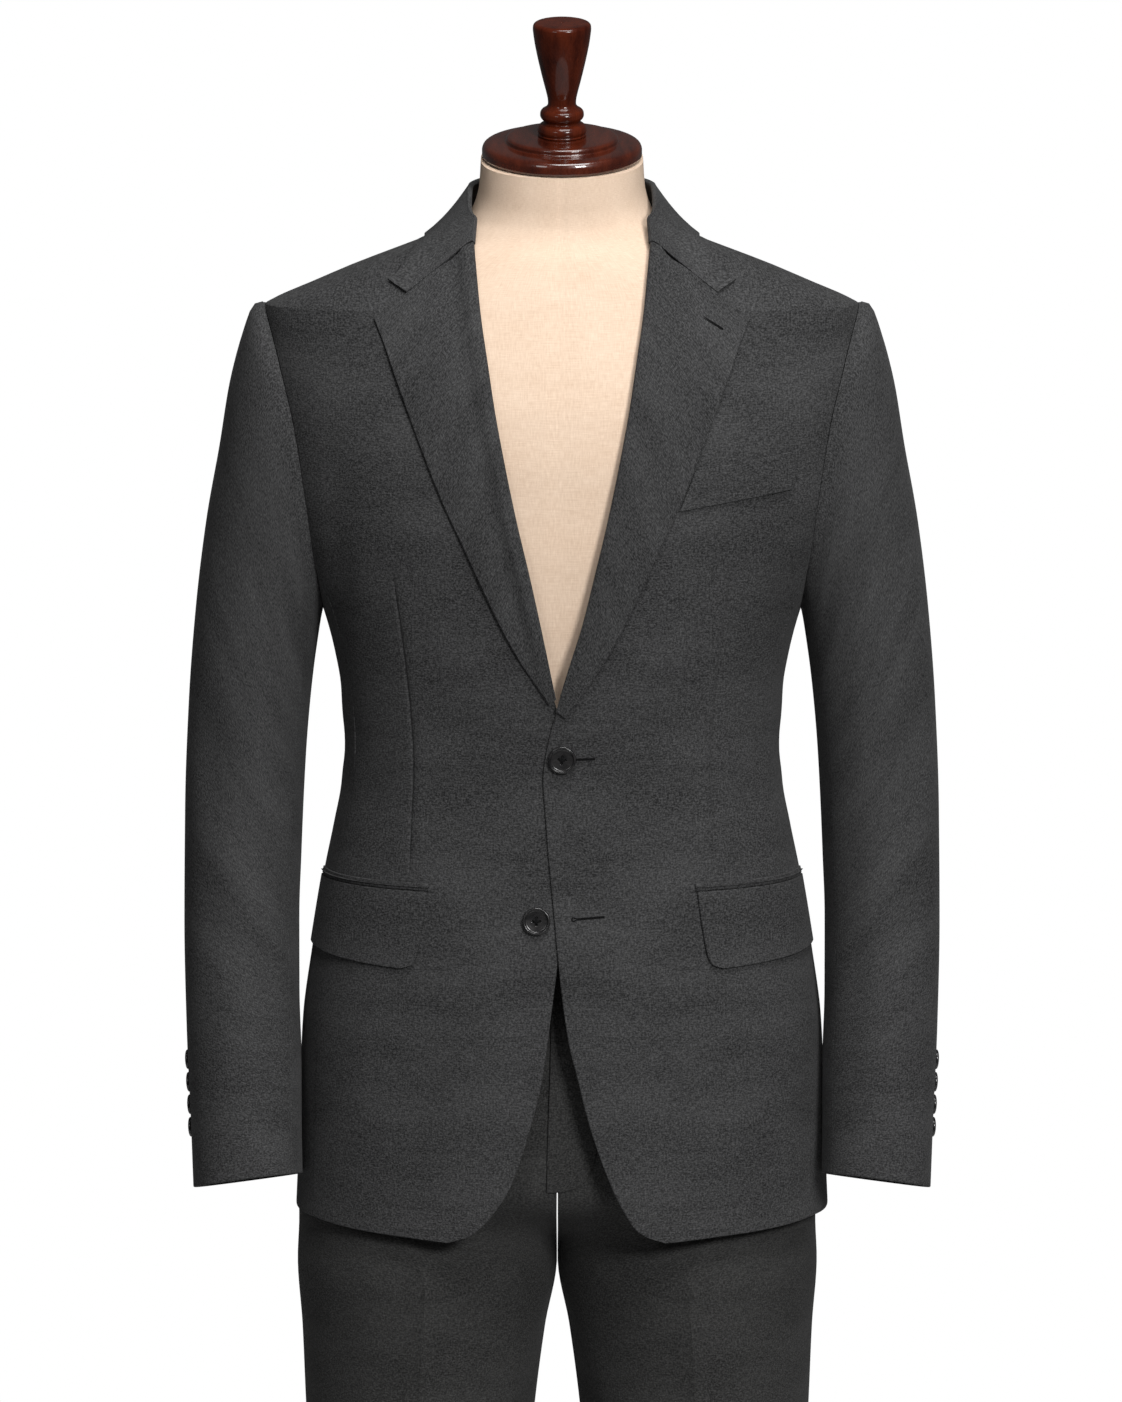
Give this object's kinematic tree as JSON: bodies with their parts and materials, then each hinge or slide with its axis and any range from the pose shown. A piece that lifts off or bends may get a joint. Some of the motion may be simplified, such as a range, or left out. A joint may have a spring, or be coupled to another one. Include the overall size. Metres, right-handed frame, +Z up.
{
  "type": "business suit on a dress form",
  "caption": "Charcoal single-breasted business suit, notch-lapel jacket and straight trousers, worn by a limbless dress form with a wooden cap and finial on a pole and round base.",
  "frame": {"origin": "centre of the base's underside, on the floor", "axes": "+Z up, the suit faces -Y, the wearer's left is +X"},
  "size_m": [0.571, 0.36, 1.7846],
  "materials": {
    "worsted": "matte",
    "trouser_worsted": "matte",
    "horn": "gloss",
    "form_cloth": "matte",
    "mahogany": "gloss",
    "steel": "satin"
  },
  "bodies": {
    "root": {"front_left": "worsted", "front_right": "worsted", "side_left": "worsted", "side_right": "worsted", "back_left": "worsted", "back_right": "worsted", "lapel_left": "worsted", "lapel_right": "worsted", "collar": "worsted", "breast_welt": "worsted", "jet_left": "worsted", "jet_right": "worsted", "flap_left": "worsted", "flap_right": "worsted", "top_sleeve_left": "worsted", "top_sleeve_right": "worsted", "under_sleeve_left": "worsted", "under_sleeve_right": "worsted", "trouser_front_left": "trouser_worsted", "trouser_front_right": "trouser_worsted", "trouser_back_left": "trouser_worsted", "trouser_back_right": "trouser_worsted", "waistband": "trouser_worsted", "fly": "trouser_worsted", "button_top": "horn", "button_lower": "horn", "cuff_button_left_1": "horn", "cuff_button_left_2": "horn", "cuff_button_left_3": "horn", "cuff_button_left_4": "horn", "cuff_button_right_1": "horn", "cuff_button_right_2": "horn", "cuff_button_right_3": "horn", "cuff_button_right_4": "horn", "form_torso": "form_cloth", "neck_cap": "mahogany", "finial": "mahogany", "pole": "steel", "base": "steel"}
  },
  "joints": []
}
